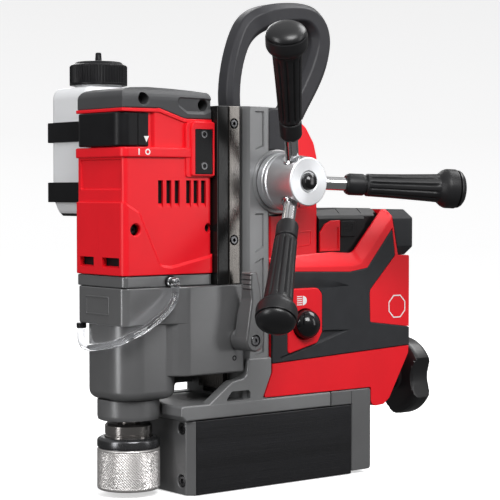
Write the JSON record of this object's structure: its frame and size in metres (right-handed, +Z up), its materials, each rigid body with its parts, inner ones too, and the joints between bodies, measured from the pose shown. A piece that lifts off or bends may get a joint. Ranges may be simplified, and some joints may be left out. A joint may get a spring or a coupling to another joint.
{
  "type": "magnetic drill press",
  "caption": "Cordless magnetic drill press: motor carriage on a rack-fed column, three-spoke feed hub, quick-change chuck, coolant bottle and switchable magnet foot.",
  "frame": {"origin": "centre of the magnet's bottom face", "axes": "+Z up along the column, -Y towards the chuck, +X towards the feed hub"},
  "size_m": [0.2145, 0.3128, 0.365],
  "materials": {
    "red_plastic": "satin moulded",
    "cast_grey": "grey paint on a casting",
    "grey_steel": "grey paint",
    "black_steel": "brushed black",
    "overmould": "soft-touch matt",
    "black_plastic": "matt",
    "gloss_black": "gloss",
    "steel": "turned",
    "slide_steel": "dark polished",
    "hub_aluminium": "turned and polished",
    "bronze": "satin",
    "winding": "enamelled",
    "clear_hose": "clear",
    "white_bottle": "translucent white",
    "board_green": "satin"
  },
  "bodies": {
    "base": {"pole_plate_right": "black_steel", "pole_plate_left": "black_steel", "magnet_core": "grey_steel", "magnet_front_plate": "grey_steel", "magnet_rear_block": "grey_steel", "column_frame": "cast_grey", "feed_bush_left": "bronze", "feed_bush_right": "bronze", "rear_housing_right": "red_plastic", "rear_housing_left": "red_plastic", "side_armour_right": "overmould", "side_armour_left": "overmould", "control_panel": "red_plastic", "guard_bumper": "overmould", "controller_board": "board_green", "battery_terminals": "black_plastic", "carry_handle": "overmould"},
    "magnet_rotor": {"magnet_rotor": "slide_steel"},
    "magnet_knob": {"magnet_knob": "gloss_black", "magnet_knob_shaft": "steel"},
    "lamp_button": {"lamp_button": "gloss_black"},
    "battery": {"battery_pack": "black_plastic"},
    "battery_latch_right": {"battery_latch_right": "red_plastic"},
    "battery_latch_left": {"battery_latch_left": "red_plastic"},
    "carriage": {"dovetail_rail": "slide_steel", "feed_rack": "steel", "gear_housing": "cast_grey", "motor_flange": "cast_grey", "nose_ring": "cast_grey", "motor_housing_right": "red_plastic", "motor_housing_left": "red_plastic", "top_cap": "overmould", "tool_mount_plate": "black_plastic", "stator": "winding", "rotor_bearing_lower": "steel", "rotor_bearing_upper": "steel", "spindle_bearing": "steel", "coolant_bottle": "white_bottle", "bottle_bracket": "black_plastic", "coolant_hose": "clear_hose", "hose_elbow": "clear_hose", "hose_connector": "black_plastic"},
    "motor_switch": {"motor_switch": "black_plastic"},
    "bottle_cap": {"bottle_cap": "black_plastic"},
    "lock_lever": {"lock_lever": "cast_grey", "lever_screw": "slide_steel"},
    "motor_rotor": {"motor_rotor": "steel"},
    "countershaft": {"countershaft_gear": "steel"},
    "spindle": {"spindle": "steel", "spindle_gear": "steel"},
    "chuck_sleeve": {"chuck_sleeve": "steel"},
    "feed": {"feed_pinion_shaft": "steel", "feed_hub": "hub_aluminium", "hub_button": "gloss_black", "handle_rod_1": "steel", "handle_grip_1": "overmould", "handle_rod_2": "steel", "handle_grip_2": "overmould", "handle_rod_3": "steel", "handle_grip_3": "overmould"}
  },
  "joints": [
    {"name": "carriage_slide", "type": "slide", "parent": "base", "child": "carriage", "axis": [0, 0, 1], "range_m": [0, 0.146]},
    {"name": "feed_turn", "type": "hinge", "parent": "base", "child": "feed", "pos_m": [0.055, -0.0046, 0.2264], "axis": [1, 0, 0], "range_deg": [-836.6, 0]},
    {"name": "spindle_spin", "type": "hinge", "parent": "carriage", "child": "spindle", "pos_m": [0, -0.1142, 0.06], "axis": [0, 0, 1], "continuous": true},
    {"name": "rotor_spin", "type": "hinge", "parent": "carriage", "child": "motor_rotor", "pos_m": [0, -0.098, 0.2], "axis": [0, 0, 1], "continuous": true},
    {"name": "countershaft_spin", "type": "hinge", "parent": "carriage", "child": "countershaft", "pos_m": [-0.01299, -0.10897, 0.14], "axis": [0, 0, 1], "continuous": true},
    {"name": "chuck_sleeve_slide", "type": "slide", "parent": "spindle", "child": "chuck_sleeve", "axis": [0, 0, 1], "range_m": [0, 0.008], "stiffness_N_per_m": 600, "springref_m": -0.005},
    {"name": "motor_switch_slide", "type": "slide", "parent": "carriage", "child": "motor_switch", "axis": [0, -1, 0], "range_m": [0, 0.0084]},
    {"name": "bottle_cap_lift", "type": "slide", "parent": "carriage", "child": "bottle_cap", "axis": [0, 0, 1], "range_m": [0, 0.02]},
    {"name": "lock_lever_turn", "type": "hinge", "parent": "carriage", "child": "lock_lever", "pos_m": [0.047, -0.0415, 0.111], "axis": [1, 0, 0], "range_deg": [0, 75]},
    {"name": "magnet_rotor_turn", "type": "hinge", "parent": "base", "child": "magnet_rotor", "pos_m": [0, 0, 0.027], "axis": [0, 1, 0], "range_deg": [0, 180]},
    {"name": "magnet_knob_turn", "type": "hinge", "parent": "base", "child": "magnet_knob", "pos_m": [0, 0.15, 0.0676], "axis": [0, 1, 0], "range_deg": [-180, 0]},
    {"name": "lamp_button_press", "type": "slide", "parent": "base", "child": "lamp_button", "axis": [-1, 0, 0], "range_m": [0, 0.0025], "stiffness_N_per_m": 600, "springref_m": -0.001},
    {"name": "battery_slide", "type": "slide", "parent": "base", "child": "battery", "axis": [0, 0, 1], "range_m": [0, 0.07]},
    {"name": "battery_latch_right_press", "type": "slide", "parent": "battery", "child": "battery_latch_right", "axis": [-1, 0, 0], "range_m": [0, 0.002], "stiffness_N_per_m": 400, "springref_m": -0.001},
    {"name": "battery_latch_left_press", "type": "slide", "parent": "battery", "child": "battery_latch_left", "axis": [1, 0, 0], "range_m": [0, 0.002], "stiffness_N_per_m": 400, "springref_m": -0.001}
  ],
  "couplings": [
    {"joint": "feed_turn", "follows": "carriage_slide", "rad_per_m": -100},
    {"joint": "spindle_spin", "follows": "rotor_spin", "ratio": 0.12308},
    {"joint": "countershaft_spin", "follows": "rotor_spin", "ratio": -0.30769},
    {"joint": "magnet_knob_turn", "follows": "magnet_rotor_turn", "ratio": -1}
  ]
}
